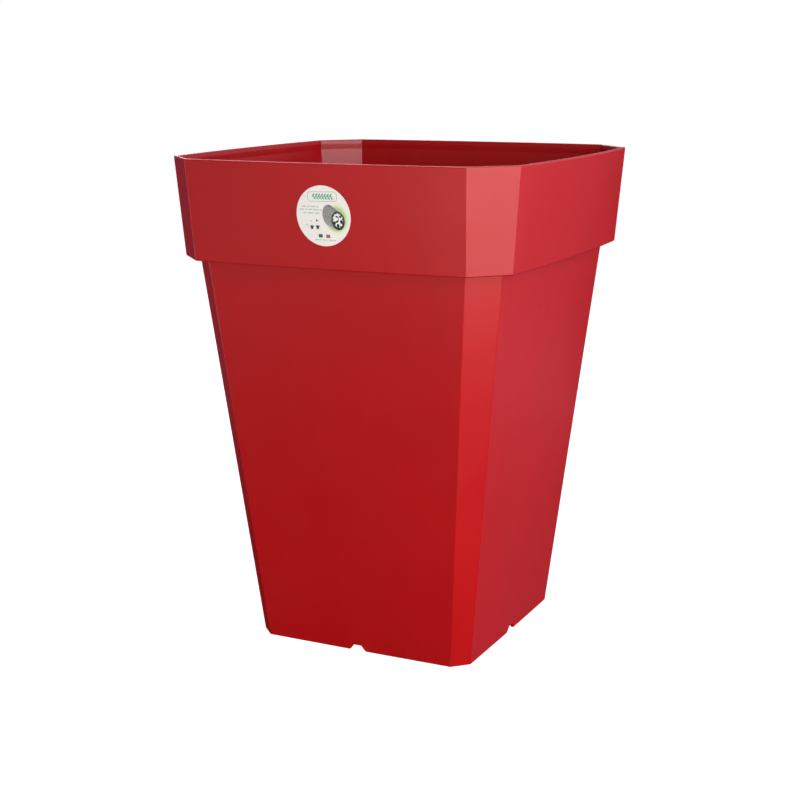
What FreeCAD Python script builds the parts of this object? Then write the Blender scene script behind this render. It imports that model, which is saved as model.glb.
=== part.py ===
"""Tall square plant pot with a stepped collar, a water reserve under a loose grid, and a label.

Frame: origin at the middle of the foot, on the ground; +Z up; -Y is the side with the label.
All sizes are millimetres.
"""

import FreeCAD, Part
import math
import os

import Sketcher

V = FreeCAD.Vector

# The driving dimensions: alias and value. A cross-section of the pot is a square of half width
# *_half with its corners cut off: *_flat is half the length of a side between the cut corners,
# and *_bow is how far the middle of a side stands out.
SIZES = [
    # pot shell, outside
    ("height", 520.0),
    ("ledge_level", 416.8),
    ("foot_half", 124.1),
    ("foot_flat", 108.3),
    ("foot_bow", 0.5),
    ("body_half", 170.6),
    ("body_flat", 143.1),
    ("body_bow", 4.4),
    ("collar_half", 183.7),
    ("collar_flat", 149.9),
    ("collar_bow", 5.2),
    ("rim_half", 192.4),
    ("rim_flat", 153.6),
    ("rim_bow", 7.6),
    # pot shell, inside
    ("wall", 3.0),
    ("floor_under", 12.0),
    ("floor_top", 15.0),
    ("bead_depth", 5.0),
    ("bead_slope", 6.0),
    ("bead_stand", 0.6),
    # drain notches in the foot edge
    ("notch_wide", 19.0),
    ("notch_top", 9.0),
    ("notch_tall", 6.2),
    # bosses and ribs under the floor
    ("outlet_reach", 75.0),
    ("plug_bore", 9.0),
    ("tube_bore", 11.0),
    ("boss_wall", 4.0),
    ("boss_level", 6.0),
    ("rib_thick", 2.4),
    ("rib_level", 9.0),
    # rounded edges of the shell
    ("edge_round", 1.5),
    ("lip_round", 1.2),
    ("inner_round", 2.5),
    # label
    ("label_side", 5.4),
    ("label_drop", 50.2),
    ("label_radius", 29.4),
    ("label_gap", 0.02),
    ("label_thick", 0.2),
    # reserve grid
    ("grid_level", 70.0),
    ("grid_thick", 3.0),
    ("grid_gap", 2.5),
    ("scallop_radius", 7.0),
    ("scallop_pitch", 38.0),
    ("leg_reach", 107.0),
    ("leg_radius", 7.0),
    ("leg_wall", 1.8),
    ("cup_reach", 60.0),
    ("cup_hole", 26.6),
    ("collar_ring", 2.0),
    ("collar_ring_deep", 7.0),
    ("petal_inner", 17.0),
    ("petal_outer", 28.0),
    ("petal_half_angle", 28.0),
    ("small_hole", 3.6),
    ("small_hole_reach", 84.0),
    ("small_hole_angle", 13.0),
    # wick cups
    ("cup_top_radius", 26.0),
    ("cup_foot_radius", 19.0),
    ("cup_wall", 1.8),
    ("cup_lift", 3.5),
    ("cup_flange", 30.5),
    ("cup_flange_thick", 2.0),
    ("slot_wide", 3.2),
    ("slot_low", 8.0),
    ("slot_tall", 30.0),
    # overflow tube and drain plugs
    ("fit_gap", 0.05),
    ("tube_wall", 2.0),
    ("tube_top", 55.0),
    ("tube_notch", 5.0),
    ("head_level", 3.4),
    ("head_overhang", 2.6),
    ("plug_top", 17.0),
    ("plug_lead", 1.0),
    ("grip_level", 1.2),
    ("grip_thick", 3.0),
]
VALUE = dict(SIZES)
SIDES = 4
CUP_SLOTS = 8
LONG_EDGE = 50.0
SAME_LEVEL = 0.05

ORIGIN, X_AXIS, Y_AXIS = -1, -1, -2
START, END, CENTRE = 1, 2, 3


def make_sheet(doc):
    """The spreadsheet that every size is bound to."""
    sheet = doc.addObject("Spreadsheet::Sheet", "Sizes")
    for row, (alias, value) in enumerate(SIZES, start=1):
        sheet.set(f"A{row}", alias)
        sheet.set(f"B{row}", str(value))
        sheet.setAlias(f"B{row}", alias)
    doc.recompute()


def cell(alias):
    """Expression for one driving dimension."""
    return f"Sizes.{alias}"


# ---------------------------------------------------------------- sketches and features


def new_body(doc, label):
    body = doc.addObject("PartDesign::Body", label)
    body.Label = label
    return body


def origin_item(body, role):
    return next(f for f in body.Origin.OriginFeatures if f.Role == role)


def new_sketch(body, name, role="XY_Plane", level="0"):
    """A sketch on an origin plane of its own body, moved out along the plane's normal to a level."""
    sketch = body.newObject("Sketcher::SketchObject", name)
    sketch.AttachmentSupport = [(origin_item(body, role), "")]
    sketch.MapMode = "FlatFace"
    sketch.setExpression(".AttachmentOffset.Base.z", level)
    return sketch


def bind(sketch, kind, refs, start, expression):
    """A dimension of a sketch, bound to an expression; start is its first guess."""
    index = sketch.addConstraint(Sketcher.Constraint(kind, *refs, start))
    sketch.setExpression(f"Constraints[{index}]", expression)


def place_point(sketch, geo, pos, x, y, guess):
    """Binds a point's distances from the sketch's origin. A guess below 0 turns that distance round."""
    for kind, expression, value in (("DistanceX", x, guess[0]), ("DistanceY", y, guess[1])):
        if expression == "0":
            axis = Y_AXIS if kind == "DistanceX" else X_AXIS
            sketch.addConstraint(Sketcher.Constraint("PointOnObject", geo, pos, axis))
        elif value < 0:
            bind(sketch, kind, (geo, pos, ORIGIN, START), -value, expression)
        else:
            bind(sketch, kind, (ORIGIN, START, geo, pos), value, expression)


def circle(sketch, x, y, radius, guess, start_radius):
    """A circle whose centre and radius are expressions."""
    geo = sketch.addGeometry(Part.Circle(V(*guess, 0), V(0, 0, 1), start_radius), False)
    place_point(sketch, geo, CENTRE, x, y, guess)
    bind(sketch, "Radius", (geo,), start_radius, radius)


def polygon(sketch, corners):
    """A closed outline of straight lines. Each corner is (x expression, y expression, (x, y) guess)."""
    guesses = [V(*guess, 0) for _, _, guess in corners]
    lines = [
        sketch.addGeometry(Part.LineSegment(a, b), False)
        for a, b in zip(guesses, guesses[1:] + guesses[:1])
    ]
    for line, after in zip(lines, lines[1:] + lines[:1]):
        sketch.addConstraint(Sketcher.Constraint("Coincident", line, END, after, START))
    for line, (x, y, guess) in zip(lines, corners):
        place_point(sketch, line, START, x, y, guess)


def cut_square(sketch, half, flat, bow):
    """A square with its corners cut off and its sides bowed out, as four arcs and four lines."""
    w, f, b = VALUE["body_half"], VALUE["body_flat"], VALUE["body_bow"]
    arcs, lines = [], []
    for k in range(SIDES):
        turn = FreeCAD.Rotation(V(0, 0, 1), 90 * k)
        left, crown, right, corner = (
            turn.multVec(V(*xy, 0)) for xy in ((-f, -w), (0, -w - b), (f, -w), (w, -f))
        )
        arcs.append(sketch.addGeometry(Part.Arc(left, crown, right), False))
        lines.append(sketch.addGeometry(Part.LineSegment(right, corner), False))
    for k, (arc, line) in enumerate(zip(arcs, lines)):
        after = arcs[(k + 1) % SIDES]
        axis = Y_AXIS if k % 2 == 0 else X_AXIS
        sketch.addConstraint(Sketcher.Constraint("Coincident", arc, END, line, START))
        sketch.addConstraint(Sketcher.Constraint("Coincident", line, END, after, START))
        sketch.addConstraint(Sketcher.Constraint("Symmetric", arc, START, arc, END, axis))
    for arc in arcs[1:]:
        sketch.addConstraint(Sketcher.Constraint("Equal", arcs[0], arc))
    place_point(sketch, arcs[0], END, flat, half, (f, -w))
    place_point(sketch, arcs[1], END, half, flat, (w, f))
    place_point(sketch, arcs[2], START, flat, half, (f, w))
    place_point(sketch, arcs[3], START, half, flat, (-w, f))
    radius = (f * f + b * b) / (2 * b)
    bind(sketch, "Radius", (arcs[0],), radius, f"(({flat})^2 + ({bow})^2) / (2 * ({bow}))")
    return sketch


def loft(body, kind, name, sections):
    """A ruled loft through sketches, added to the body or taken from it."""
    feature = body.newObject(f"PartDesign::{kind}Loft", name)
    feature.Profile = sections[0]
    feature.Sections = sections[1:]
    feature.Ruled = True
    body.Document.recompute()
    return feature


def pad(body, name, sketch, length, reverse=False):
    feature = body.newObject("PartDesign::Pad", name)
    feature.Profile = sketch
    feature.Reversed = reverse
    feature.setExpression("Length", length)
    body.Document.recompute()
    return feature


def pocket(body, name, sketch, length, reverse=False):
    """A cut, whose direction is tested by what it takes away."""
    before = body.Shape.Volume
    feature = body.newObject("PartDesign::Pocket", name)
    feature.Profile = sketch
    feature.Reversed = reverse
    feature.setExpression("Length", length)
    body.Document.recompute()
    if body.Shape.Volume >= before:
        raise RuntimeError(f"{body.Label}: {name} cut nothing")
    return feature


def revolve(body, name, sketch):
    """A full turn of an XZ-plane sketch about the body's Z axis."""
    feature = body.newObject("PartDesign::Revolution", name)
    feature.Profile = sketch
    feature.ReferenceAxis = (origin_item(body, "Z_Axis"), [""])
    feature.Angle = 360.0
    body.Document.recompute()
    return feature


def repeat_round(body, name, features, count):
    """Copies of features at even angles about the body's Z axis."""
    feature = body.newObject("PartDesign::PolarPattern", name)
    feature.Originals = features
    feature.Axis = (origin_item(body, "Z_Axis"), [""])
    feature.Angle = 360.0
    feature.Occurrences = count
    body.Tip = feature
    body.Document.recompute()
    return feature


def round_edges(body, name, radius, chosen):
    """Rounds the edges of the body's tip that a test picks."""
    base = body.Tip
    picked = [f"Edge{k}" for k, edge in enumerate(base.Shape.Edges, start=1) if chosen(edge)]
    if not picked:
        raise RuntimeError(f"{body.Label}: {name} picked no edge")
    feature = body.newObject("PartDesign::Fillet", name)
    feature.Base = (base, picked)
    feature.setExpression("Radius", radius)
    body.Document.recompute()
    return feature


# ---------------------------------------------------------------- the pot's cross-sections


def between(low, high, share):
    return f"({low} + ({high} - {low}) * ({share}))"


def inset_section(part, share, inset):
    """(half, flat, bow) expressions part of the way up the body or the collar, moved in from its
    outer face. A cut corner moves in by the same amount as the sides, which shortens each side."""
    low, high = {"body": ("foot", "body"), "collar": ("collar", "rim")}[part]
    half, flat, bow = (
        between(cell(f"{low}_{name}"), cell(f"{high}_{name}"), share)
        for name in ("half", "flat", "bow")
    )
    return f"({half} - ({inset}))", f"({flat} - ({inset}) * (sqrt(2) - 1))", bow


def pot_section(body, name, part, level, inset="0"):
    """A sketch of the pot's outline at a level of the body or the collar."""
    ledge = cell("ledge_level")
    share = (
        f"({level}) / {ledge}"
        if part == "body"
        else f"(({level}) - {ledge}) / ({cell('height')} - {ledge})"
    )
    sketch = new_sketch(body, name, level=level)
    return cut_square(sketch, *inset_section(part, share, inset))


def near(a, b, slack=SAME_LEVEL):
    return abs(a - b) < slack


def level_of(edge):
    """The edge's height if it is level, or None."""
    box = edge.BoundBox
    return (box.ZMin + box.ZMax) / 2 if box.ZLength < SAME_LEVEL else None


# ---------------------------------------------------------------- pot shell


def add_outside(body):
    """The tapering body and the wider collar, solid."""
    ledge, top = cell("ledge_level"), cell("height")
    loft(
        body,
        "Additive",
        "BodyOutside",
        [
            pot_section(body, "FootOutline", "body", "0"),
            pot_section(body, "BodyOutline", "body", ledge),
        ],
    )
    loft(
        body,
        "Additive",
        "CollarOutside",
        [
            pot_section(body, "CollarOutline", "collar", ledge),
            pot_section(body, "RimOutline", "collar", top),
        ],
    )


def cut_inside(body):
    """The planting space, the shelf behind the ledge, the bead inside the rim, the foot recess."""
    wall, top = cell("wall"), cell("height")
    shelf = f"({cell('ledge_level')} + {wall})"
    bead_low = f"({top} - {cell('bead_depth')} - {cell('bead_slope')})"
    bead_high = f"({top} - {cell('bead_depth')})"
    bead_wall = f"({wall} + {cell('bead_stand')})"
    loft(
        body,
        "Subtractive",
        "BodyInside",
        [
            pot_section(body, "FloorOutline", "body", cell("floor_top"), wall),
            pot_section(body, "ShelfInner", "body", shelf, wall),
        ],
    )
    levels = [(shelf, wall), (bead_low, wall), (bead_high, bead_wall), (top, bead_wall)]
    loft(
        body,
        "Subtractive",
        "CollarInside",
        [
            pot_section(body, f"CollarInner{k}", "collar", level, inset)
            for k, (level, inset) in enumerate(levels)
        ],
    )
    loft(
        body,
        "Subtractive",
        "FootRecess",
        [
            pot_section(body, "FootInner", "body", "0", wall),
            pot_section(body, "FloorUnder", "body", cell("floor_under"), wall),
        ],
    )


def round_shell(body):
    """Rounds the long corners, the shelf and the floor inside, the ledge and the rim."""
    ledge, top, wall = VALUE["ledge_level"], VALUE["height"], VALUE["wall"]
    shelf, floor = ledge + wall, VALUE["floor_top"]
    body_top, collar_foot = VALUE["body_half"], VALUE["collar_half"]

    def outer_corner(edge):
        """A slanting edge between a side and a cut corner, on the outside."""
        box = edge.BoundBox
        if box.ZLength < LONG_EDGE:
            return False
        reach = max(box.XMax, -box.XMin, box.YMax, -box.YMin)
        outside = body_top if near(box.ZMax, ledge) else VALUE["rim_half"]
        return near(reach, outside, wall / 2)

    round_edges(body, "OuterCorners", cell("edge_round"), outer_corner)
    round_edges(
        body,
        "LedgeEdge",
        cell("lip_round"),
        lambda e: level_of(e) is not None
        and near(level_of(e), ledge)
        and max(abs(e.CenterOfMass.x), abs(e.CenterOfMass.y)) > (body_top + collar_foot) / 2,
    )
    round_edges(
        body,
        "RimEdges",
        cell("lip_round"),
        lambda e: level_of(e) is not None and near(level_of(e), top),
    )
    round_edges(
        body,
        "FloorCorner",
        cell("inner_round"),
        lambda e: level_of(e) is not None and near(level_of(e), floor),
    )
    round_edges(
        body,
        "ShelfEdge",
        cell("edge_round"),
        lambda e: level_of(e) is not None and near(level_of(e), shelf),
    )


def cut_notches(body):
    """A drain notch through the foot wall at the middle of each side."""
    half, top, tall = cell("notch_wide") + " / 2", cell("notch_top") + " / 2", cell("notch_tall")
    sketch = new_sketch(body, "NotchShape", "XZ_Plane")
    w, t, h = VALUE["notch_wide"] / 2, VALUE["notch_top"] / 2, VALUE["notch_tall"]
    polygon(
        sketch,
        [
            (half, "0", (-w, 0)),
            (half, "0", (w, 0)),
            (top, tall, (t, h)),
            (top, tall, (-t, h)),
        ],
    )
    notch = pocket(body, "Notch", sketch, cell("body_half"))
    repeat_round(body, "Notches", [notch], SIDES)


def add_underside(body):
    """Ribs under the floor, and a boss round each outlet, with the outlets' bores through them."""
    under, boss_level, rib_level = cell("floor_under"), cell("boss_level"), cell("rib_level")
    rib = new_sketch(body, "RibShape", level=rib_level)
    long, thick = VALUE["foot_half"] - VALUE["wall"] / 2, VALUE["rib_thick"] / 2
    reach, side = f"({cell('foot_half')} - {cell('wall')} / 2)", f"{cell('rib_thick')} / 2"
    polygon(
        rib,
        [
            ("0", side, (0, -thick)),
            (reach, side, (long, -thick)),
            (reach, side, (long, thick)),
            ("0", side, (0, thick)),
        ],
    )
    one = pad(body, "Rib", rib, f"({under} - {rib_level})")
    repeat_round(body, "Ribs", [one], SIDES)
    for name, reach, bore in (
        ("Plug", cell("outlet_reach"), cell("plug_bore")),
        ("Tube", "0", cell("tube_bore")),
    ):
        start = VALUE[f"{name.lower()}_bore"]
        guess = (0 if reach == "0" else VALUE["outlet_reach"], 0)
        boss = new_sketch(body, f"{name}BossShape", level=boss_level)
        circle(boss, reach, "0", f"{bore} + {cell('boss_wall')}", guess, start)
        boss = pad(body, f"{name}Boss", boss, f"({under} - {boss_level})")
        if reach != "0":
            repeat_round(body, f"{name}Bosses", [boss], SIDES)
        hole = new_sketch(body, f"{name}HoleShape")
        circle(hole, reach, "0", bore, guess, start)
        hole = pocket(body, f"{name}Hole", hole, f"{cell('floor_top')} + 1", reverse=True)
        if reach != "0":
            repeat_round(body, f"{name}Holes", [hole], SIDES)


def make_pot_shell(doc):
    body = new_body(doc, "pot_shell")
    add_outside(body)
    cut_inside(body)
    round_shell(body)
    cut_notches(body)
    add_underside(body)
    return body


# ---------------------------------------------------------------- label


def make_label(doc):
    """A thin disc that follows the bowed, leaning front of the collar."""
    ledge, top = cell("ledge_level"), cell("height")
    shells = {}
    for name, inset in (
        ("LabelFront", f"0 - {cell('label_gap')} - {cell('label_thick')}"),
        ("LabelBack", f"0 - {cell('label_gap')}"),
    ):
        outlines = []
        for where, share, level in (("Low", "0", ledge), ("High", "1", top)):
            sketch = doc.addObject("Sketcher::SketchObject", f"{name}{where}")
            sketch.setExpression("Placement.Base.z", level)
            outlines.append(cut_square(sketch, *inset_section("collar", share, inset)))
        shells[name] = doc.addObject("Part::Loft", f"{name}Skin")
        shells[name].Sections = outlines
        shells[name].Solid = True
        shells[name].Ruled = True
    skin = doc.addObject("Part::Cut", "LabelSkin")
    skin.Base, skin.Tool = shells["LabelFront"], shells["LabelBack"]
    punch = doc.addObject("Part::Cylinder", "LabelPunch")
    punch.setExpression("Radius", cell("label_radius"))
    punch.setExpression("Height", f"2 * {cell('rim_half')}")
    punch.Placement.Rotation = FreeCAD.Rotation(V(1, 0, 0), 90)
    punch.setExpression("Placement.Base.x", cell("label_side"))
    punch.setExpression("Placement.Base.z", f"{top} - {cell('label_drop')}")
    label = doc.addObject("Part::Common", "label")
    label.Base, label.Tool = skin, punch
    label.Label = "label"
    doc.recompute()
    return label


# ---------------------------------------------------------------- reserve grid


def make_reserve_grid(doc):
    """A loose false floor: a plate on hollow legs, with a scalloped edge, four cup holes that have
    a ring under them, four curved openings round the middle, and small drain holes."""
    body = new_body(doc, "reserve_grid")
    level, thick, floor = cell("grid_level"), cell("grid_thick"), cell("floor_top")
    inset = f"({cell('wall')} + {cell('grid_gap')})"
    plate = pot_section(body, "PlateShape", "body", level, inset)
    pad(body, "Plate", plate, thick)

    reach = cell("cup_reach")
    at = VALUE["cup_reach"]
    ring = new_sketch(body, "CupRingShape", level=f"({level} - {cell('collar_ring_deep')})")
    hole_radius, ring_wall = cell("cup_hole"), cell("collar_ring")
    ring_at = VALUE["cup_hole"] + VALUE["collar_ring"]
    circle(ring, reach, reach, f"{hole_radius} + {ring_wall}", (at, at), ring_at)
    ring = pad(body, "CupRing", ring, cell("collar_ring_deep"))
    repeat_round(body, "CupRings", [ring], SIDES)

    leg = new_sketch(body, "LegShape", level=floor)
    leg_at, leg_radius = (VALUE["leg_reach"], 0), VALUE["leg_radius"]
    circle(leg, cell("leg_reach"), "0", cell("leg_radius"), leg_at, leg_radius)
    leg = pad(body, "Leg", leg, f"({level} - {floor})")
    repeat_round(body, "Legs", [leg], SIDES)
    leg_bore = new_sketch(body, "LegBoreShape", level=floor)
    bore = f"({cell('leg_radius')} - {cell('leg_wall')})"
    circle(leg_bore, cell("leg_reach"), "0", bore, leg_at, leg_radius - VALUE["leg_wall"])
    leg_bore = pocket(body, "LegBore", leg_bore, f"({level} - {floor})", reverse=True)
    repeat_round(body, "LegBores", [leg_bore], SIDES)

    holes = []
    cup_hole = new_sketch(body, "CupHoleShape", level=f"({level} - {cell('collar_ring_deep')})")
    circle(cup_hole, reach, reach, hole_radius, (at, at), VALUE["cup_hole"])
    depth = f"({cell('collar_ring_deep')} + {thick})"
    holes.append(pocket(body, "CupHole", cup_hole, depth, reverse=True))
    holes.append(cut_scallops(body))
    holes.append(cut_petal(body))
    holes.append(cut_small_holes(body))
    repeat_round(body, "Openings", holes, SIDES)
    return body


def cut_scallops(body):
    """Half-round bites out of one edge of the plate."""
    sketch = new_sketch(body, "ScallopShape", level=cell("grid_level"))
    share = f"{cell('grid_level')} / {cell('ledge_level')}"
    edge = between(cell("foot_half"), cell("body_half"), share)
    edge = f"({edge} - {cell('wall')} - {cell('grid_gap')})"
    start = VALUE["foot_half"]
    for k in (-2, -1, 0, 1, 2):
        along = "0" if k == 0 else f"{abs(k)} * {cell('scallop_pitch')}"
        guess = (k * VALUE["scallop_pitch"], start)
        circle(sketch, along, edge, cell("scallop_radius"), guess, VALUE["scallop_radius"])
    return pocket(body, "Scallops", sketch, cell("grid_thick"), reverse=True)


def cut_petal(body):
    """One curved opening between two radii, with round ends."""
    sketch = new_sketch(body, "PetalShape", level=cell("grid_level"))
    inner, outer = VALUE["petal_inner"], VALUE["petal_outer"]
    half_angle = math.radians(VALUE["petal_half_angle"])
    middle, end = (inner + outer) / 2, (outer - inner) / 2
    up = V(0, 0, 1)

    def arc(centre, radius, low, high):
        return sketch.addGeometry(Part.ArcOfCircle(Part.Circle(centre, up, radius), low, high), False)

    def on_middle(angle):
        return V(middle * math.cos(angle), middle * math.sin(angle), 0)

    wide = arc(V(0, 0, 0), outer, -half_angle, half_angle)
    tight = arc(V(0, 0, 0), inner, -half_angle, half_angle)
    left = arc(on_middle(half_angle), end, half_angle, half_angle + math.pi)
    right = arc(on_middle(-half_angle), end, -half_angle + math.pi, -half_angle + 2 * math.pi)
    for constraint in (
        ("Coincident", wide, CENTRE, ORIGIN, START),
        ("Coincident", tight, CENTRE, ORIGIN, START),
        ("Tangent", wide, END, left, START),
        ("Tangent", tight, END, left, END),
        ("Tangent", wide, START, right, END),
        ("Tangent", tight, START, right, START),
    ):
        sketch.addConstraint(Sketcher.Constraint(*constraint))
    bind(sketch, "Radius", (wide,), outer, cell("petal_outer"))
    bind(sketch, "Radius", (tight,), inner, cell("petal_inner"))
    rise = f"({cell('petal_inner')} + {cell('petal_outer')}) / 2 * sin({cell('petal_half_angle')})"
    start = on_middle(half_angle).y
    bind(sketch, "DistanceY", (ORIGIN, START, left, CENTRE), start, rise)
    bind(sketch, "DistanceY", (right, CENTRE, ORIGIN, START), start, rise)
    return pocket(body, "Petal", sketch, cell("grid_thick"), reverse=True)


def cut_small_holes(body):
    """A pair of drain holes either side of the +X axis, and one nearer the middle."""
    sketch = new_sketch(body, "SmallHoleShape", level=cell("grid_level"))
    reach, angle = VALUE["small_hole_reach"], math.radians(VALUE["small_hole_angle"])
    along = f"{cell('small_hole_reach')} * cos({cell('small_hole_angle')})"
    across = f"{cell('small_hole_reach')} * sin({cell('small_hole_angle')})"
    for side in (-1, 1):
        guess = (reach * math.cos(angle), side * reach * math.sin(angle))
        circle(sketch, along, across, cell("small_hole"), guess, VALUE["small_hole"])
    half_way = f"({cell('petal_outer')} + {cell('small_hole_reach')}) / 2"
    guess = ((VALUE["petal_outer"] + reach) / 2, 0)
    circle(sketch, half_way, "0", cell("small_hole"), guess, VALUE["small_hole"])
    return pocket(body, "SmallHoles", sketch, cell("grid_thick"), reverse=True)


# ---------------------------------------------------------------- wick cups


def make_wick_cup(doc, name, x_sign, y_sign):
    """A slotted, tapering cup that hangs by its flange in a cup hole of the grid."""
    body = new_body(doc, name)
    foot, hang = f"({cell('floor_top')} + {cell('cup_lift')})", cell("grid_level")
    top = f"({hang} + {cell('grid_thick')})"
    crown = f"({top} + {cell('cup_flange_thick')})"
    wall = cell("cup_wall")
    v = VALUE
    foot_at = v["floor_top"] + v["cup_lift"]
    top_at = v["grid_level"] + v["grid_thick"]
    crown_at = top_at + v["cup_flange_thick"]
    out_foot, out_top, flange = v["cup_foot_radius"], v["cup_top_radius"], v["cup_flange"]
    thick = v["cup_wall"]
    profile = new_sketch(body, "CupProfile", "XZ_Plane")
    foot_radius, top_radius = cell("cup_foot_radius"), cell("cup_top_radius")
    polygon(
        profile,
        [
            ("0", foot, (0, foot_at)),
            (foot_radius, foot, (out_foot, foot_at)),
            (top_radius, top, (out_top, top_at)),
            (cell("cup_flange"), top, (flange, top_at)),
            (cell("cup_flange"), crown, (flange, crown_at)),
            (f"{top_radius} - {wall}", crown, (out_top - thick, crown_at)),
            (f"{foot_radius} - {wall}", f"{foot} + {wall}", (out_foot - thick, foot_at + thick)),
            ("0", f"{foot} + {wall}", (0, foot_at + thick)),
        ],
    )
    revolve(body, "Cup", profile)
    slot = new_sketch(body, "SlotShape", "XZ_Plane")
    half = v["slot_wide"] / 2
    low, tall = foot_at + v["slot_low"], v["slot_tall"]
    low_level = f"{foot} + {cell('slot_low')}"
    high_level = f"{low_level} + {cell('slot_tall')}"
    side = f"{cell('slot_wide')} / 2"
    polygon(
        slot,
        [
            (side, low_level, (-half, low)),
            (side, low_level, (half, low)),
            (side, high_level, (half, low + tall)),
            (side, high_level, (-half, low + tall)),
        ],
    )
    slot = pocket(body, "Slot", slot, cell("cup_top_radius"))
    repeat_round(body, "Slots", [slot], CUP_SLOTS)
    body.setExpression("Placement.Base.x", f"{x_sign} * {cell('cup_reach')}")
    body.setExpression("Placement.Base.y", f"{y_sign} * {cell('cup_reach')}")
    return body


# ---------------------------------------------------------------- overflow tube and drain plugs


def make_overflow_tube(doc):
    """A standpipe pushed up through the middle of the floor, with a notched top."""
    body = new_body(doc, "overflow_tube")
    v = VALUE
    outer_at = v["tube_bore"] - v["fit_gap"]
    head_at = v["tube_bore"] + v["head_overhang"]
    bore_at = outer_at - v["tube_wall"]
    outer = f"({cell('tube_bore')} - {cell('fit_gap')})"
    head = f"{cell('tube_bore')} + {cell('head_overhang')}"
    bore = f"({outer} - {cell('tube_wall')})"
    low, seat, top = cell("head_level"), cell("boss_level"), cell("tube_top")
    profile = new_sketch(body, "TubeProfile", "XZ_Plane")
    polygon(
        profile,
        [
            (bore, low, (bore_at, v["head_level"])),
            (head, low, (head_at, v["head_level"])),
            (head, seat, (head_at, v["boss_level"])),
            (outer, seat, (outer_at, v["boss_level"])),
            (outer, top, (outer_at, v["tube_top"])),
            (bore, top, (bore_at, v["tube_top"])),
        ],
    )
    revolve(body, "Tube", profile)
    notch = new_sketch(body, "TubeNotchShape", "XZ_Plane")
    circle(notch, "0", top, f"{cell('tube_notch')} / 2", (0, v["tube_top"]), v["tube_notch"] / 2)
    notch = pocket(body, "TubeNotch", notch, cell("tube_bore"))
    repeat_round(body, "TubeNotches", [notch], SIDES)
    return body


def make_drain_plug(doc, name, turn):
    """A solid stopper pushed up into a floor outlet, with a grip bar under its head."""
    body = new_body(doc, name)
    v = VALUE
    shank_at = v["plug_bore"] - v["fit_gap"]
    head_at = v["plug_bore"] + v["head_overhang"]
    shank = f"({cell('plug_bore')} - {cell('fit_gap')})"
    head = f"({cell('plug_bore')} + {cell('head_overhang')})"
    low, seat, top, lead = (cell(a) for a in ("head_level", "boss_level", "plug_top", "plug_lead"))
    profile = new_sketch(body, "PlugProfile", "XZ_Plane")
    polygon(
        profile,
        [
            ("0", low, (0, v["head_level"])),
            (head, low, (head_at, v["head_level"])),
            (head, seat, (head_at, v["boss_level"])),
            (shank, seat, (shank_at, v["boss_level"])),
            (shank, f"{top} - {lead}", (shank_at, v["plug_top"] - v["plug_lead"])),
            (f"{shank} - {lead}", top, (shank_at - v["plug_lead"], v["plug_top"])),
            ("0", top, (0, v["plug_top"])),
        ],
    )
    revolve(body, "Plug", profile)
    grip = new_sketch(body, "GripShape", level=cell("grip_level"))
    long, half = shank_at, v["grip_thick"] / 2
    side = f"{cell('grip_thick')} / 2"
    polygon(
        grip,
        [
            (shank, side, (-long, -half)),
            (shank, side, (long, -half)),
            (shank, side, (long, half)),
            (shank, side, (-long, half)),
        ],
    )
    pad(body, "Grip", grip, f"({low} - {cell('grip_level')})")
    reach = cell("outlet_reach")
    body.Placement.Rotation = FreeCAD.Rotation(V(0, 0, 1), turn)
    body.setExpression("Placement.Base.x", f"{reach} * cos({turn})")
    body.setExpression("Placement.Base.y", f"{reach} * sin({turn})")
    return body


# ---------------------------------------------------------------- the whole pot


def check(doc, pieces):
    """Stops before anything is written if an object failed or a piece isn't one good solid."""
    for item in doc.Objects:
        if "Invalid" in item.State or "Error" in item.State:
            raise RuntimeError(f"{item.Name} failed: {item.State}")
    for piece in pieces:
        shape = piece.Shape
        if shape.isNull() or not shape.isValid() or len(shape.Solids) != 1:
            raise RuntimeError(f"{piece.Label} is not one valid solid")


def main():
    doc = FreeCAD.newDocument("plant_pot")
    make_sheet(doc)
    pieces = [make_pot_shell(doc), make_label(doc), make_reserve_grid(doc), make_overflow_tube(doc)]
    for k in range(SIDES):
        pieces.append(make_drain_plug(doc, f"drain_plug_{k + 1}", 90 * k))
    for k, (x_sign, y_sign) in enumerate([(1, -1), (1, 1), (-1, 1), (-1, -1)]):
        pieces.append(make_wick_cup(doc, f"wick_cup_{k + 1}", x_sign, y_sign))
    doc.recompute()
    check(doc, pieces)
    os.makedirs("parts", exist_ok=True)
    for piece in pieces:
        piece.Shape.exportStep(f"parts/{piece.Label}.step")
        print(f"{piece.Label}: {piece.Shape.Volume / 1000:.1f} cm3")


main()
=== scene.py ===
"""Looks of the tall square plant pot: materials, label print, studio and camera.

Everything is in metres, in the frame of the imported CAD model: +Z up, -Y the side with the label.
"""

import math
from collections import namedtuple

import bmesh
import bpy
from mathutils import Matrix, Vector
from mathutils.bvhtree import BVHTree


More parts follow.
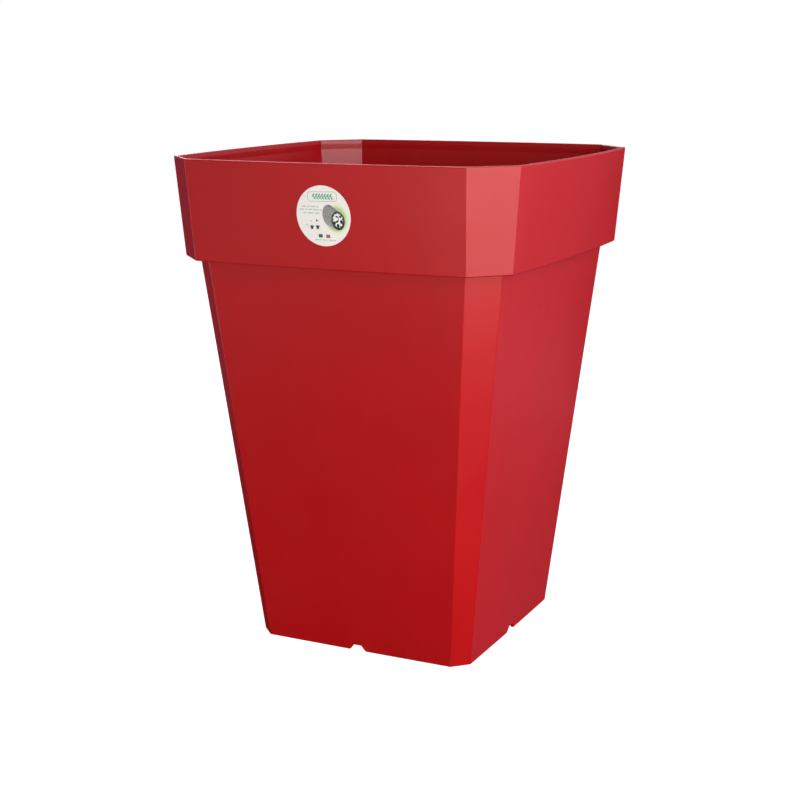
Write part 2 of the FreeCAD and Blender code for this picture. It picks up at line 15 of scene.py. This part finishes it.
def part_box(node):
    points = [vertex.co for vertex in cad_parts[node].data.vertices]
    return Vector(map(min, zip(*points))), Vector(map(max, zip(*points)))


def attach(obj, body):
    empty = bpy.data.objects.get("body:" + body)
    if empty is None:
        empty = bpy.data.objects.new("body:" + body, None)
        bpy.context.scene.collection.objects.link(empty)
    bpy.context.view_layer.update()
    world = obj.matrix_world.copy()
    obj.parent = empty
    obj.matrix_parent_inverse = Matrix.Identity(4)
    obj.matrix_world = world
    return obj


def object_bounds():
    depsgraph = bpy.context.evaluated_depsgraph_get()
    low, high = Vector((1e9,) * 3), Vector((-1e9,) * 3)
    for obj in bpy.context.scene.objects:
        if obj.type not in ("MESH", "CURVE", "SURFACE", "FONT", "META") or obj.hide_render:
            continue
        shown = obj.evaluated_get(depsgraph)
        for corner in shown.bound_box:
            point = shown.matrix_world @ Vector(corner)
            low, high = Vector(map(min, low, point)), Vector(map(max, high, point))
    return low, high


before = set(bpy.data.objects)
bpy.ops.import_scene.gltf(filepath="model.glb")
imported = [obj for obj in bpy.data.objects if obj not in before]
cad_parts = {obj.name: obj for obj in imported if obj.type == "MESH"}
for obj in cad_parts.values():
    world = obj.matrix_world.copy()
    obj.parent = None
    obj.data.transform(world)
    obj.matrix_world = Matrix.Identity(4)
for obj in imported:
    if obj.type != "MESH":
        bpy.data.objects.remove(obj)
CAD_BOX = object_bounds()

LOW, HIGH = CAD_BOX
HEIGHT = HIGH.z - LOW.z
MM = 0.001

# camera: azimuth and elevation in degrees, distance in pot heights, small turns in radians,
# sensor width and lens in millimetres, and the near and far ends of what it sees in metres
CAMERA_AZIMUTH = 25.91
CAMERA_ELEVATION = 12.37
CAMERA_DISTANCE = 3.24537
CAMERA_PAN = -0.00505
CAMERA_TILT = -0.00667
CAMERA_ROLL = -0.00406
SENSOR = 36.0
LENS = 68.93
NEAR, FAR = 0.01, 100

# studio: square soft boxes round the pot, each with azimuth and elevation in degrees, watts and tint
WHITE, PINK, MAUVE = (1.0, 1.0, 1.0), (0.96, 0.86, 1.12), (0.88, 0.42, 0.80)
SoftBox = namedtuple("SoftBox", "name azimuth elevation watts tint")
SOFT_BOXES = [
    SoftBox("key_high", 63, 21, 18.4, WHITE),
    SoftBox("key_low", 61, -3, 14.4, WHITE),
    SoftBox("front_right", 30, -5, 4.2, WHITE),
    SoftBox("front", 0, -3, 5.9, WHITE),
    SoftBox("front_left", 330, -5, 2.0, WHITE),
    SoftBox("left_front", 290, -8, 6.0, WHITE),
    SoftBox("left", 268, -5, 2.3, MAUVE),
    SoftBox("right", 120, -6, 6.1, PINK),
    SoftBox("right_back", 150, -5, 0.6, PINK),
    SoftBox("right_floor", 150, -28, 0.5, PINK),
    SoftBox("overhead", 30, 88, 6.5, WHITE),
    SoftBox("inside_left", 105, 45, 3.5, PINK),
    SoftBox("inside_sheen", 152, 18, 2.2, PINK),
    SoftBox("rim_edge", 206, 13, 2.5, WHITE),
    SoftBox("back", 215, 32, 13.0, WHITE),
]
BOX_SIZE = 1.0
BOX_DISTANCE = 2.0
BOX_AIM = Vector((0, 0, 0.3))
# the sky's strength, how wide its edge is at the horizon, and the room's strength for the camera
SKY = 0.21
SKY_EDGE = 0.02
WHITE_ROOM = 1.0
# the floor: how it glows and what it reflects for the camera, and what it throws back on the pot
FLOOR_GLOW = 0.93
FLOOR_SEEN = 0.40
FLOOR_BOUNCE = 0.50
FLOOR_REACH = 20 * HEIGHT


def direction(azimuth, elevation):
    """The unit vector towards an azimuth and elevation, as the cameras of this frame count them."""
    azimuth, elevation = math.radians(azimuth), math.radians(elevation)
    level = math.cos(elevation)
    return Vector((math.sin(azimuth) * level, -math.cos(azimuth) * level, math.sin(elevation)))


def turned(a, b, angle):
    """Two axes at a right angle, both turned by an angle in their plane."""
    return a * math.cos(angle) - b * math.sin(angle), a * math.sin(angle) + b * math.cos(angle)


def make_camera():
    """A camera that looks at the pot's middle from its azimuth and elevation, then turns a little."""
    back = direction(CAMERA_AZIMUTH, CAMERA_ELEVATION)
    middle = Vector((0, 0, HEIGHT / 2))
    data = bpy.data.cameras.new("camera")
    data.sensor_width, data.lens = SENSOR, LENS
    data.clip_start, data.clip_end = NEAR, FAR
    camera = bpy.data.objects.new("camera", data)
    bpy.context.collection.objects.link(camera)
    forward = -back
    right = forward.cross(Vector((0, 0, 1))).normalized()
    up = right.cross(forward)
    right, forward = turned(right, forward, CAMERA_PAN)
    up, forward = turned(up, forward, CAMERA_TILT)
    up, right = turned(up, right, CAMERA_ROLL)
    axes = Matrix((right, up, -forward)).transposed().to_4x4()
    camera.matrix_world = Matrix.Translation(middle + back * CAMERA_DISTANCE * HEIGHT) @ axes
    bpy.context.scene.camera = camera


# ---------------------------------------------------------------- node helpers


class Nodes:
    """A small wrapper that makes and links nodes of one tree."""

    # a mix node's sockets for colours: the share, both colours, and the result
    COLOUR_MIX_INPUTS = ("0", "6", "7")
    COLOUR_MIX_OUTPUT = 2

    def __init__(self, tree):
        self.tree = tree
        self.tree.nodes.clear()

    def add(self, kind, **settings):
        """A node; a setting whose value is an output socket is linked, any other is set."""
        node = self.tree.nodes.new(f"ShaderNode{kind}")
        for name, value in settings.items():
            if hasattr(node, name):
                setattr(node, name, value)
            else:
                self.put(node, name.replace("_", " "), value)
        return node

    def put(self, node, name, value):
        """Links or sets one input, by its name or by its number as a string."""
        socket = node.inputs[int(name)] if name.isdigit() else node.inputs[name]
        if isinstance(value, bpy.types.NodeSocket):
            self.tree.links.new(value, socket)
        else:
            socket.default_value = value

    def math(self, operation, a, b=0.0):
        node = self.tree.nodes.new("ShaderNodeMath")
        node.operation = operation
        for k, value in enumerate((a, b)):
            self.put(node, str(k), value)
        return node.outputs[0]

    def scaled(self, vector, scale):
        """Coordinates stretched along each axis."""
        node = self.tree.nodes.new("ShaderNodeMapping")
        self.put(node, "Vector", vector)
        self.put(node, "Scale", scale)
        return node.outputs["Vector"]

    def noise(self, vector, scale, detail=2.0, rough=0.5):
        node = self.add("TexNoise", Vector=vector, Scale=scale, Detail=detail, Roughness=rough)
        return node.outputs["Fac"]

    def span(self, value, low, high, to_low=0.0, to_high=1.0):
        """A value moved from one range to another, held at its ends."""
        node = self.tree.nodes.new("ShaderNodeMapRange")
        for name, number in zip(
            ("Value", "From Min", "From Max", "To Min", "To Max"), (value, low, high, to_low, to_high)
        ):
            self.put(node, name, number)
        return node.outputs["Result"]

    def mix_colour(self, share, a, b):
        node = self.tree.nodes.new("ShaderNodeMix")
        node.data_type = "RGBA"
        for k, value in zip(self.COLOUR_MIX_INPUTS, (share, a, b)):
            self.put(node, k, value)
        return node.outputs[self.COLOUR_MIX_OUTPUT]

    def bump(self, height, strength, distance, normal=None):
        node = self.add("Bump", Height=height, Strength=strength, Distance=distance)
        if normal is not None:
            self.put(node, "Normal", normal)
        return node.outputs["Normal"]


def new_material(name):
    """An empty node material with a Principled shader, and the helper for its tree."""
    material = bpy.data.materials.new(name)
    material.use_nodes = True
    nodes = Nodes(material.node_tree)
    shader = nodes.add("BsdfPrincipled")
    output = nodes.add("OutputMaterial")
    nodes.tree.links.new(shader.outputs[0], output.inputs[0])
    return material, nodes, shader


def opaque(colour):
    return (*colour, 1.0)


# ---------------------------------------------------------------- materials

RED = (0.49, 0.0016, 0.0034)
RED_DEEP = (0.445, 0.0011, 0.0027)
RED_SCUFF = (0.52, 0.020, 0.022)
PAPER_CREAM, PAPER_WARM = (0.99, 0.95, 0.885), (0.95, 0.905, 0.835)
GRID_LIGHT, GRID_DARK = (0.80, 0.80, 0.76), (0.72, 0.72, 0.68)
CHARCOAL_LIGHT, CHARCOAL_DARK = (0.040, 0.040, 0.043), (0.028, 0.028, 0.030)
# heights of the relief in the red plastic, the other mouldings and the paper
WAVE_DEPTH = 0.55 * MM
RED_GRAIN_DEPTH = 0.06 * MM
GRAIN_DEPTH = 0.08 * MM
FIBRE_DEPTH = 0.03 * MM
# bands above the ground and below the rim that get scuffed
FOOT_SCUFF = 16 * MM
RIM_SCUFF = 6 * MM
# the red plastic's roughness: under about 0.28 the denoiser draws false edges on it
RED_GLOSS = (0.285, 0.365)
RED_SPECULAR = 0.41
PAPER_GLOSS = (0.42, 0.5)
INK_GLOSS = (0.42, 0.52)
# how much paler than its colour an ink's specks are, besides their contrast
SPECK_LIFT = 0.015
# how far the roughness of the other mouldings goes up and down, and how deep light enters them
GLOSS_SPREAD = 0.05
SEE_IN_DEPTH = 2 * MM


def red_shell_material():
    """Satin red polypropylene: drawn flow streaks, faint mottling, slow waves and a fine grain."""
    material, nodes, shader = new_material("red_shell")
    place = nodes.add("NewGeometry").outputs["Position"]
    level = nodes.add("SeparateXYZ", Vector=place).outputs["Z"]
    mottle = nodes.noise(place, 14.0, 4.0)
    streaks = nodes.noise(nodes.scaled(place, (60.0, 60.0, 2.5)), 1.0, 3.0)
    tone = nodes.math("ADD", nodes.math("MULTIPLY", mottle, 0.6), nodes.math("MULTIPLY", streaks, 0.4))
    colour = nodes.mix_colour(nodes.span(tone, 0.25, 0.75), opaque(RED_DEEP), opaque(RED))
    # scuffs where the foot rubs the ground and where hands take the rim
    speckle = nodes.noise(nodes.scaled(place, (1.0, 1.0, 0.35)), 420.0, 5.0, 0.65)
    foot = nodes.span(level, LOW.z + MM, LOW.z + FOOT_SCUFF, 1.0, 0.0)
    rim = nodes.span(level, HIGH.z - RIM_SCUFF, HIGH.z, 0.0, 0.5)
    worn = nodes.math("MULTIPLY", nodes.math("MAXIMUM", foot, rim), nodes.span(speckle, 0.56, 0.70))
    colour = nodes.mix_colour(nodes.math("MULTIPLY", worn, 0.5), colour, opaque(RED_SCUFF))
    nodes.put(shader, "Base Color", colour)
    gloss = nodes.span(nodes.noise(place, 19.0, 2.0), 0.0, 1.0, *RED_GLOSS)
    nodes.put(shader, "Roughness", nodes.math("ADD", gloss, nodes.math("MULTIPLY", worn, 0.25)))
    shader.inputs["Specular IOR Level"].default_value = RED_SPECULAR
    waves = nodes.noise(nodes.scaled(place, (1.0, 1.0, 0.6)), 11.0, 1.0)
    normal = nodes.bump(waves, 1.0, WAVE_DEPTH)
    grain = nodes.noise(place, 900.0, 2.0)
    normal = nodes.bump(grain, 0.12, RED_GRAIN_DEPTH, normal)
    nodes.put(shader, "Normal", normal)
    return material


def moulded_material(name, light, dark, roughness, see_in):
    """Plain moulded plastic, faintly clouded, with a fine grain; see_in is how much light enters it."""
    material, nodes, shader = new_material(name)
    place = nodes.add("NewGeometry").outputs["Position"]
    cloud = nodes.noise(place, 35.0, 4.0)
    tone = nodes.span(cloud, 0.3, 0.7)
    nodes.put(shader, "Base Color", nodes.mix_colour(tone, opaque(dark), opaque(light)))
    gloss = nodes.noise(place, 120.0, 3.0)
    low, high = roughness - GLOSS_SPREAD, roughness + GLOSS_SPREAD
    nodes.put(shader, "Roughness", nodes.span(gloss, 0.3, 0.7, low, high))
    shader.inputs["Subsurface Weight"].default_value = see_in
    shader.inputs["Subsurface Scale"].default_value = SEE_IN_DEPTH
    grain = nodes.noise(place, 1400.0, 2.0)
    nodes.put(shader, "Normal", nodes.bump(grain, 0.25, GRAIN_DEPTH))
    return material


def paper_material():
    """Cream label paper with short fibres and a slight sheen."""
    material, nodes, shader = new_material("label_paper")
    place = nodes.add("NewGeometry").outputs["Position"]
    fibres = nodes.noise(nodes.scaled(place, (1.0, 1.0, 3.0)), 1500.0, 4.0)
    tone = nodes.span(fibres, 0.35, 0.65)
    nodes.put(shader, "Base Color", nodes.mix_colour(tone, opaque(PAPER_WARM), opaque(PAPER_CREAM)))
    nodes.put(shader, "Roughness", nodes.span(nodes.noise(place, 200.0), 0.3, 0.7, *PAPER_GLOSS))
    nodes.put(shader, "Normal", nodes.bump(fibres, 0.1, FIBRE_DEPTH))
    return material


def ink_material(name, colour, contrast=1.25, speck=2500.0):
    """Printed ink of uneven tone: contrast sets how pale its specks are, speck how fine."""
    material, nodes, shader = new_material(name)
    place = nodes.add("NewGeometry").outputs["Position"]
    uneven = nodes.noise(place, speck, 3.0)
    pale = tuple(min(1.0, c * contrast + SPECK_LIFT) for c in colour)
    tone = nodes.span(uneven, 0.35, 0.65)
    nodes.put(shader, "Base Color", nodes.mix_colour(tone, opaque(colour), opaque(pale)))
    nodes.put(shader, "Roughness", nodes.span(uneven, 0.3, 0.7, *INK_GLOSS))
    return material


def dress(node, material):
    """Gives a CAD node one material."""
    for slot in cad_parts[node].material_slots:
        slot.material = material


# ---------------------------------------------------------------- label print

LABEL_LOW, LABEL_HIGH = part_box("label")
LABEL_MIDDLE = Vector(
    ((LABEL_LOW.x + LABEL_HIGH.x) / 2, LABEL_LOW.y, (LABEL_LOW.z + LABEL_HIGH.z) / 2)
)
LABEL_RADIUS = (LABEL_HIGH.x - LABEL_LOW.x) / 2
# ink: the rise from layer to layer, its thickness in layers, and the strips it is cut in to bend
LAYER = 0.03 * MM
INK_THICKNESS = 0.9
STRIP = 2.0 * MM
# how far in front of the label the search for its face starts
AHEAD = 100 * MM


def search_tree(node):
    """A search tree of a CAD node's mesh, for finding places on its surface."""
    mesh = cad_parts[node].data
    return BVHTree.FromPolygons([v.co for v in mesh.vertices], [p.vertices for p in mesh.polygons])


LABEL_SURFACE = search_tree("label")


def on_label(u, v, lift):
    """The place on the label's face, u to the right and v up from its middle, in label radii."""
    x, z = LABEL_MIDDLE.x + u * LABEL_RADIUS, LABEL_MIDDLE.z + v * LABEL_RADIUS
    start = Vector((x, LABEL_LOW.y - AHEAD, z))
    hit, normal, _, _ = LABEL_SURFACE.ray_cast(start, Vector((0, 1, 0)))
    return hit + normal * lift


def placed(points, u, v, degrees):
    """Flat points turned anticlockwise about the origin, then moved to a place."""
    turn = math.radians(degrees)
    return [
        (u + a * math.cos(turn) - b * math.sin(turn), v + a * math.sin(turn) + b * math.cos(turn))
        for a, b in points
    ]


def ellipse(u, v, across, up, tilt=0.0, steps=48, start=0.0, sweep=360.0):
    """Points round an ellipse, or round part of it; tilt turns it anticlockwise."""
    gaps = steps if sweep == 360.0 else steps - 1
    angles = [math.radians(start + sweep * k / gaps) for k in range(steps)]
    return placed([(across * math.cos(a), up * math.sin(a)) for a in angles], u, v, tilt)


def rounded_box(u, v, across, up, corner, tilt=0.0):
    """A box with round corners; across and up are its half sizes, and tilt turns it."""
    points = []
    for k, (a, b) in enumerate(((1, 1), (-1, 1), (-1, -1), (1, -1))):
        centre = (a * (across - corner), b * (up - corner))
        points += ellipse(*centre, corner, corner, steps=7, start=90.0 * k, sweep=90.0)
    return placed(points, u, v, tilt)


def hull(points):
    """The convex outline round some points."""

    def chain(ordered):
        side = []
        for p in ordered:
            while len(side) > 1 and (
                (side[-1][0] - side[-2][0]) * (p[1] - side[-2][1])
                - (side[-1][1] - side[-2][1]) * (p[0] - side[-2][0])
            ) <= 0:
                side.pop()
            side.append(p)
        return side[:-1]

    ordered = sorted(set(points))
    return chain(ordered) + chain(ordered[::-1])


def printed(name, outlines, colour, layer, holes=(), **screen):
    """Ink on the label: flat shapes, wrapped on its face and raised by a number of layers.

    outlines are filled; holes are pairs of an outline and the hole in it. screen goes to the ink.
    """
    mesh = bmesh.new()
    flat = LABEL_RADIUS

    def corners(outline):
        return [mesh.verts.new((u * flat, v * flat, 0)) for u, v in outline]

    for outline in outlines:
        mesh.faces.new(corners(outline))
    for pair in holes:
        rings = [corners(ring) for ring in pair]
        edges = [mesh.edges.new(ends) for ring in rings for ends in zip(ring, ring[1:] + ring[:1])]
        bmesh.ops.bridge_loops(mesh, edges=edges)
    bmesh.ops.triangulate(mesh, faces=mesh.faces[:])
    cuts = int(flat / STRIP)
    for k in range(-cuts, cuts + 1):
        everything = mesh.verts[:] + mesh.edges[:] + mesh.faces[:]
        bmesh.ops.bisect_plane(mesh, geom=everything, plane_co=(k * STRIP, 0, 0), plane_no=(1, 0, 0))
    bmesh.ops.recalc_face_normals(mesh, faces=mesh.faces[:])
    for face in mesh.faces:
        if face.normal.z < 0:
            face.normal_flip()
    copy = bmesh.ops.extrude_face_region(mesh, geom=mesh.faces[:])
    tops = {v for v in copy["geom"] if isinstance(v, bmesh.types.BMVert)}
    for vertex in mesh.verts:
        lift = layer * LAYER if vertex in tops else (layer - INK_THICKNESS) * LAYER
        vertex.co = on_label(vertex.co.x / flat, vertex.co.y / flat, lift)
    bmesh.ops.recalc_face_normals(mesh, faces=mesh.faces[:])
    data = bpy.data.meshes.new(name)
    mesh.to_mesh(data)
    mesh.free()
    piece = bpy.data.objects.new(name, data)
    bpy.context.collection.objects.link(piece)
    data.materials.append(ink_material(f"ink_{name}", colour, **screen))
    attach(piece, "pot")


# the gap between two words in label radii, and a bar's thickness over the radius of its corners
WORD_GAP = 0.03
BAR_ROUNDING = 2.2
# a leaf's side: the steps along it, and how its widest place shifts towards its root
LEAF_STEPS = 8
LEAF_SHIFT = 0.85


def text_row(u, v, length, words, thick=0.036):
    """A line of small print as a row of bars, one for each word; the words are relative lengths."""
    unit = (length - WORD_GAP * (len(words) - 1)) / sum(words)
    bars = []
    for word in words:
        bars.append(rounded_box(u + word * unit / 2, v, word * unit / 2, thick / 2, thick / BAR_ROUNDING))
        u += word * unit + WORD_GAP
    return bars


def leaf(u, v, length, wide, turn):
    """A pointed leaf that grows from a point, widest a little before its middle."""
    shares = [k / LEAF_STEPS for k in range(LEAF_STEPS + 1)]
    side = [(length * t, wide * math.sin(math.pi * t ** LEAF_SHIFT)) for t in shares]
    return placed(side + [(a, -b) for a, b in side[-2:0:-1]], u, v, turn)


def small_pot(u, v, size):
    """A little tapering pot and its rim, as two outlines."""
    half, foot, rim, level = size * 0.95, size * 0.62, size * 1.2, v + size * 0.5
    body = [(u - foot, v - size), (u + foot, v - size), (u + half, level), (u - half, level)]
    return [body, [(u - rim, level), (u + rim, level), (u + rim, v + size), (u - rim, v + size)]]


# the print's colours
GREEN, PALE_GREEN = (0.10, 0.38, 0.26), (0.24, 0.50, 0.38)
HALO = {"pale": (0.80, 0.86, 0.66), "soft": (0.66, 0.76, 0.47), "deep": (0.47, 0.60, 0.30)}
SMALL_PRINT, FOOT_PRINT = (0.48, 0.52, 0.49), (0.34, 0.42, 0.36)
POT_BODY, POT_RIBS, POT_MOUTH = (0.115, 0.105, 0.10), (0.33, 0.31, 0.30), (0.018, 0.022, 0.010)
GRID_DISC, GRID_HOLES = (0.88, 0.88, 0.83), (0.012, 0.013, 0.008)
ICONS, DOTS = (0.035, 0.035, 0.030), (0.30, 0.16, 0.14)
DARK_PATCH, RED_PATCH = (0.07, 0.075, 0.07), (0.31, 0.11, 0.12)
# how the badge and the pictured pot lean, in degrees
BADGE_LEAN = 1.5
POT_LEAN = 6.0
# the pictured pot's near rim and far end: middle, half sizes and tilt, in label radii and degrees
NEAR_RIM = (0.54, -0.14, 0.240, 0.305, POT_LEAN)
FAR_END = (0.235, 0.02, 0.255, 0.36, 8.0)
# where the pot's ribs start and how far round they go, in degrees
RIB_ARC = (100.0, 150.0)
# middles and widths of the four large round holes in the pictured grid
LARGE_HOLES = ((0.625, 0.0, 0.036), (0.665, -0.165, 0.052), (0.405, -0.215, 0.048), (0.53, -0.30, 0.050))
SCALLOPS = 11
# the grid's curved slot: its start and sweep in degrees, and twice the u that it's mirrored about
SLOT_ARC = (40.0, 260.0)
SLOT_MIRROR = 1.01


def print_badge():
    """A frame round a sprig of seven pairs of leaves."""
    outside = rounded_box(0, 0.635, 0.545, 0.165, 0.12, BADGE_LEAN)
    inside = rounded_box(0, 0.635, 0.527, 0.147, 0.10, BADGE_LEAN)
    printed("label_badge", [], PALE_GREEN, 1, [(outside, inside)])
    sprig = [rounded_box(0, 0.63, 0.38, 0.010, 0.009, BADGE_LEAN)]
    for k in range(7):
        root = 0.105 * k - 0.36
        sprig.append(leaf(root, 0.637, 0.135, 0.030, 48.0))
        sprig.append(leaf(root + 0.04, 0.623, 0.125, 0.028, -45.0))
    printed("label_sprig", sprig, GREEN, 1)


def print_small_print():
    """Three short rows of small print, under the badge."""
    rows = text_row(-0.77, 0.295, 0.62, (3, 2, 4, 2)) + text_row(-0.87, 0.195, 0.84, (4, 2, 3, 5, 2))
    rows += text_row(-0.74, 0.085, 0.61, (2, 4, 3))
    printed("label_small_print", rows, SMALL_PRINT, 1)


def print_pot_picture():
    """A ribbed pot on a green halo, seen from its mouth, with a pierced disc in it."""
    for k, (tone, colour) in enumerate(HALO.items()):
        across, up = 0.465 - 0.055 * k, 0.50 - 0.05 * k
        halo = ellipse(0.50 - 0.015 * k, -0.07 - 0.01 * k, across, up)
        printed(f"label_halo_{tone}", [halo], colour, 1 + k)
    body = hull(ellipse(*FAR_END) + ellipse(*NEAR_RIM))
    printed("label_pot", [body], POT_BODY, 4, contrast=3.4, speck=1100.0)
    ribs = []
    for k in range(1, 10):
        t = k / 10
        u, v, across, up, tilt = (a + (b - a) * t for a, b in zip(FAR_END, NEAR_RIM))
        outer = ellipse(u, v, across, up, tilt, 24, *RIB_ARC)
        inner = ellipse(u + 0.012, v, across, up - 0.01, tilt, 24, *RIB_ARC)
        ribs.append(outer + inner[::-1])
    printed("label_pot_ribs", ribs, POT_RIBS, 5, contrast=1.6)
    printed("label_pot_mouth", [ellipse(*NEAR_RIM)], POT_MOUTH, 6)
    disc = ellipse(0.535, -0.125, 0.185, 0.235, POT_LEAN)
    printed("label_grid_picture", [disc], GRID_DISC, 7)
    holes = [ellipse(u, v, size, size * 1.3, POT_LEAN, 20) for u, v, size in LARGE_HOLES]
    for k in range(SCALLOPS):
        turn = math.radians(32 * k + 12)
        centre = (0.535 + 0.178 * math.cos(turn), -0.125 + 0.226 * math.sin(turn))
        holes.append(ellipse(*centre, 0.018, 0.026, POT_LEAN, 14))
    wide = ellipse(0.515, -0.09, 0.078, 0.115, POT_LEAN, 16, *SLOT_ARC)
    tight = ellipse(0.500, -0.08, 0.036, 0.055, POT_LEAN, 16, *SLOT_ARC)
    holes.append([(SLOT_MIRROR - u, v) for u, v in wide + tight[::-1]])
    printed("label_grid_holes", holes, GRID_HOLES, 8)


def print_foot_of_label():
    """Two small pots with a drop over one, two dots, two patches and a row of small print."""
    icons = small_pot(-0.45, -0.39, 0.060) + small_pot(-0.235, -0.38, 0.060)
    icons += [leaf(-0.255, -0.20, 0.085, 0.034, 90.0)]
    printed("label_icons", icons, ICONS, 1)
    dots = [ellipse(-0.63, -0.31, 0.022, 0.022, steps=16)]
    dots += [ellipse(-0.465, -0.18, 0.018, 0.018, steps=16)]
    printed("label_dots", dots, DOTS, 1)
    dark_patch = rounded_box(-0.145, -0.660, 0.073, 0.055, 0.008)
    red_patch = rounded_box(0.135, -0.665, 0.073, 0.055, 0.008)
    printed("label_dark_patch", [dark_patch], DARK_PATCH, 1)
    printed("label_red_patch", [red_patch], RED_PATCH, 1)
    foot_row = text_row(-0.37, -0.795, 0.79, (5, 3, 4, 2, 5, 3), 0.022)
    printed("label_foot_print", foot_row, FOOT_PRINT, 1)


# ---------------------------------------------------------------- studio


def make_floor():
    """A plain white floor, open from below. It throws light back up but isn't mirrored in the pot."""
    mesh = bmesh.new()
    bmesh.ops.create_grid(mesh, x_segments=2, y_segments=2, size=FLOOR_REACH)
    data = bpy.data.meshes.new("floor")
    mesh.to_mesh(data)
    mesh.free()
    floor = bpy.data.objects.new("floor", data)
    floor.location.z = LOW.z
    bpy.context.collection.objects.link(floor)
    floor.visible_glossy = False
    floor.visible_shadow = False
    material = bpy.data.materials.new("white_floor")
    material.use_nodes = True
    nodes = Nodes(material.node_tree)
    bounce = nodes.add("BsdfDiffuse", Color=opaque(c * FLOOR_BOUNCE for c in WHITE))
    seen = nodes.add("BsdfDiffuse", Color=opaque(c * FLOOR_SEEN for c in WHITE))
    glow = nodes.add("Emission", Color=opaque(WHITE), Strength=FLOOR_GLOW)
    lit = nodes.add("AddShader", **{"0": seen.outputs[0], "1": glow.outputs[0]})
    path = nodes.add("LightPath").outputs["Is Camera Ray"]
    top = nodes.add("MixShader", **{"0": path, "1": bounce.outputs[0], "2": lit.outputs[0]})
    under = nodes.add("NewGeometry").outputs["Backfacing"]
    clear = nodes.add("BsdfTransparent")
    both = nodes.add("MixShader", **{"0": under, "1": top.outputs[0], "2": clear.outputs[0]})
    nodes.add("OutputMaterial", Surface=both.outputs[0])
    data.materials.append(material)


def make_world():
    """White to the camera; a dim even sky above the floor to everything else."""
    world = bpy.data.worlds.new("studio")
    bpy.context.scene.world = world
    world.use_nodes = True
    nodes = Nodes(world.node_tree)
    up = nodes.add("SeparateXYZ", Vector=nodes.add("TexCoord").outputs["Generated"]).outputs["Z"]
    sky = nodes.span(up, -SKY_EDGE, SKY_EDGE, 0.0, SKY)
    path = nodes.add("LightPath").outputs["Is Camera Ray"]
    strength = nodes.math("MAXIMUM", nodes.math("MULTIPLY", path, WHITE_ROOM), sky)
    background = nodes.add("Background", Color=opaque(WHITE), Strength=strength)
    nodes.add("OutputWorld", Surface=background.outputs[0])


def make_lights():
    """The soft boxes, each facing the pot."""
    for box in SOFT_BOXES:
        data = bpy.data.lights.new(box.name, "AREA")
        data.shape, data.size, data.energy = "SQUARE", BOX_SIZE, box.watts
        data.color = box.tint
        light = bpy.data.objects.new(box.name, data)
        bpy.context.collection.objects.link(light)
        outward = direction(box.azimuth, box.elevation)
        light.location = BOX_AIM + outward * BOX_DISTANCE
        light.rotation_mode = "QUATERNION"
        light.rotation_quaternion = (-outward).to_track_quat("-Z", "Y")
        light.visible_camera = False


def dress_nodes():
    """Gives every CAD node its material."""
    off_white = moulded_material("off_white_grid", GRID_LIGHT, GRID_DARK, 0.45, 0.1)
    charcoal = moulded_material("charcoal_fittings", CHARCOAL_LIGHT, CHARCOAL_DARK, 0.5, 0.0)
    dress("pot_shell", red_shell_material())
    dress("label", paper_material())
    dress("reserve_grid", off_white)
    dress("overflow_tube", charcoal)
    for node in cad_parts:
        if node.startswith("wick_cup"):
            dress(node, off_white)
        elif node.startswith("drain_plug"):
            dress(node, charcoal)


bpy.context.scene.view_settings.view_transform = "Standard"
make_camera()
make_floor()
make_world()
make_lights()
dress_nodes()
print_badge()
print_small_print()
print_pot_picture()
print_foot_of_label()
